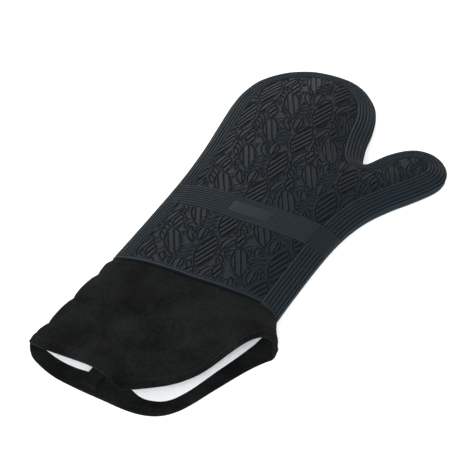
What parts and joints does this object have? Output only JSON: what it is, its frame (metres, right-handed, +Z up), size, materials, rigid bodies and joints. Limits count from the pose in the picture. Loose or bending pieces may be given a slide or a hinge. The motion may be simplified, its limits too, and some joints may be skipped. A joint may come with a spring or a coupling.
{
  "type": "heat resistant oven mitt",
  "caption": "Long silicone mitt with thumb, relief-moulded palm and back, padded cotton lining and a canvas cuff with a hanging loop.",
  "frame": {"origin": "on the ground under the middle of the mitt's box, the mitt lying on its back skin", "axes": "+Y along the forearm towards the fingers, +X towards the thumb, +Z up out of the palm"},
  "size_m": [0.1859, 0.3887, 0.0229],
  "materials": {
    "silicone": "matte moulded",
    "wadding": "loose fibre",
    "lining": "brushed terry",
    "canvas": "woven cotton",
    "thread": "twisted"
  },
  "bodies": {
    "hand": {"back_cuff_panel": "canvas", "back_lining_finger_bend": "lining", "back_lining_hand": "lining", "back_lining_thumb_bend": "lining", "back_mouth_binding": "canvas", "back_mouth_stitching": "thread", "back_skin_finger_bend": "silicone", "back_skin_hand": "silicone", "back_skin_thumb_bend": "silicone", "back_wadding_finger_bend": "wadding", "back_wadding_hand": "wadding", "back_wadding_thumb_bend": "wadding", "palm_cuff_panel": "canvas", "palm_lining_finger_bend": "lining", "palm_lining_hand": "lining", "palm_lining_thumb_bend": "lining", "palm_mouth_binding": "canvas", "palm_mouth_stitching": "thread", "palm_skin_finger_bend": "silicone", "palm_skin_hand": "silicone", "palm_skin_thumb_bend": "silicone", "palm_wadding_finger_bend": "wadding", "palm_wadding_hand": "wadding", "palm_wadding_thumb_bend": "wadding"},
    "fingers": {"back_lining_fingers": "lining", "back_skin_fingers": "silicone", "back_wadding_fingers": "wadding", "palm_lining_fingers": "lining", "palm_skin_fingers": "silicone", "palm_wadding_fingers": "wadding"},
    "thumb": {"back_lining_thumb": "lining", "back_skin_thumb": "silicone", "back_wadding_thumb": "wadding", "palm_lining_thumb": "lining", "palm_skin_thumb": "silicone", "palm_wadding_thumb": "wadding"},
    "loop": {"hanging_loop": "canvas"}
  },
  "joints": [
    {"name": "finger_fold", "type": "hinge", "parent": "hand", "child": "fingers", "pos_m": [-0.038, 0.121, 0.012], "axis": [1, 0, 0], "range_deg": [0, 70], "stiffness_Nm_per_rad": 0.12, "deforming": ["back_lining_finger_bend", "back_skin_finger_bend", "back_wadding_finger_bend", "palm_lining_finger_bend", "palm_skin_finger_bend", "palm_wadding_finger_bend"]},
    {"name": "thumb_fold", "type": "hinge", "parent": "hand", "child": "thumb", "pos_m": [0.05894, 0.09992, 0.012], "axis": [0.8, -0.6, 0], "range_deg": [0, 50], "stiffness_Nm_per_rad": 0.05, "deforming": ["back_lining_thumb_bend", "back_skin_thumb_bend", "back_wadding_thumb_bend", "palm_lining_thumb_bend", "palm_skin_thumb_bend", "palm_wadding_thumb_bend"]},
    {"name": "loop_lift", "type": "hinge", "parent": "hand", "child": "loop", "pos_m": [-0.03, -0.1895, 0.0045], "axis": [1, 0, 0], "range_deg": [0, 10]}
  ]
}
